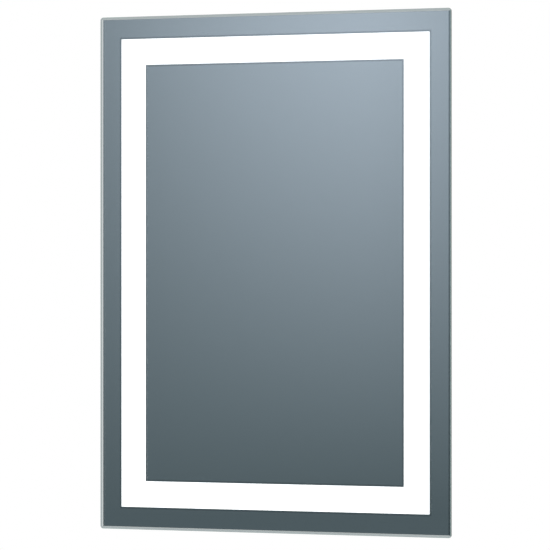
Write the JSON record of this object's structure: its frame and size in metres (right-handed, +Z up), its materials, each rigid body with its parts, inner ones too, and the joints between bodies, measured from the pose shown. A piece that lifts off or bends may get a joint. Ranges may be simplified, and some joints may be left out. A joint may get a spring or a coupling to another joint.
{
  "type": "lighted bathroom mirror",
  "caption": "Upright rectangular wall mirror with a frosted, back-lit band set in from its edge, on a shallow lit frame that hangs on a wall rail and lifts off.",
  "frame": {"origin": "middle of the line between the wall rail's two screw holes, on the wall's surface; the pane's top edge is 120 mm above it", "axes": "+Z up, +X to the right as seen from the front, +Y into the wall; the mirror faces -Y"},
  "size_m": [0.5, 0.0465, 0.7],
  "materials": {
    "clear_glass": "polished float glass with a slight green tint, pencil polished edges",
    "silvering": "silver behind glass",
    "frosting": "acid etched, lit from behind by cool white light strips",
    "safety_film": "grey backing film",
    "foam_tape": "black closed cell foam",
    "opal_acrylic": "opal, translucent",
    "strip_board": "white solder mask",
    "light_chip": "white package with a yellow phosphor face",
    "rail_aluminium": "satin anodised",
    "zinc_steel": "zinc plated",
    "rivet_aluminium": "bright",
    "screw_steel": "zinc plated",
    "panel_paint": "pale grey fine texture powder coat",
    "black_rubber": "matt",
    "terminal_moulding": "cream moulding",
    "brass": "plain",
    "driver_case": "white moulding",
    "circuit_board": "green solder mask",
    "transformer": "yellow tape over a ferrite core",
    "capacitor_sleeve": "dark blue shrink sleeve",
    "copper_winding": "enamelled copper wire on a ring",
    "lead_sheath": "white flexible sheath",
    "core_insulation": "blue and brown cores",
    "jumper_insulation": "red insulation",
    "earth_insulation": "green and yellow",
    "nylon": "natural nylon"
  },
  "bodies": {
    "wall_bracket": {"wall_rail": "zinc_steel"},
    "mirror": {"back_panel": "panel_paint", "bond_tape_inner": "foam_tape", "bond_tape_outer": "foam_tape", "cable_clamp": "zinc_steel", "cable_grommet": "black_rubber", "clamp_screws": "screw_steel", "corner_angle_bottom_left": "zinc_steel", "corner_angle_bottom_right": "zinc_steel", "corner_angle_top_left": "zinc_steel", "corner_angle_top_right": "zinc_steel", "corner_jumpers": "jumper_insulation", "corner_rivets": "rivet_aluminium", "cover_screws": "screw_steel", "diffuser_bottom": "opal_acrylic", "diffuser_left": "opal_acrylic", "diffuser_right": "opal_acrylic", "diffuser_top": "opal_acrylic", "driver_base": "driver_case", "driver_board": "circuit_board", "driver_capacitors": "capacitor_sleeve", "driver_choke": "copper_winding", "driver_fixings": "screw_steel", "driver_input_cores": "core_insulation", "driver_input_lead": "lead_sheath", "driver_lid": "driver_case", "driver_lid_screws": "screw_steel", "driver_output_lead": "lead_sheath", "driver_transformer": "transformer", "earth_lead": "earth_insulation", "earth_screw": "screw_steel", "earth_tag": "brass", "etched_band": "frosting", "frame_rail_bottom": "rail_aluminium", "frame_rail_left": "rail_aluminium", "frame_rail_right": "rail_aluminium", "frame_rail_top": "rail_aluminium", "hook_rail": "zinc_steel", "hook_rivets": "rivet_aluminium", "lead_bush": "black_rubber", "lead_clip": "nylon", "led_board_bottom": "strip_board", "led_board_left": "strip_board", "led_board_right": "strip_board", "led_board_top": "strip_board", "led_chips_bottom": "light_chip", "led_chips_left": "light_chip", "led_chips_right": "light_chip", "led_chips_top": "light_chip", "mirror_glass": "clear_glass", "panel_screws": "screw_steel", "safety_film": "safety_film", "silver_coating": "silvering", "terminal_block": "terminal_moulding", "terminal_screws": "brass", "tray_rivets": "rivet_aluminium", "wall_bumpers": "black_rubber", "wiring_cover": "panel_paint", "wiring_tray": "zinc_steel"}
  },
  "joints": [
    {"name": "mirror_lift", "type": "slide", "parent": "wall_bracket", "child": "mirror", "axis": [0, 0, 1], "range_m": [0, 0.012]}
  ]
}
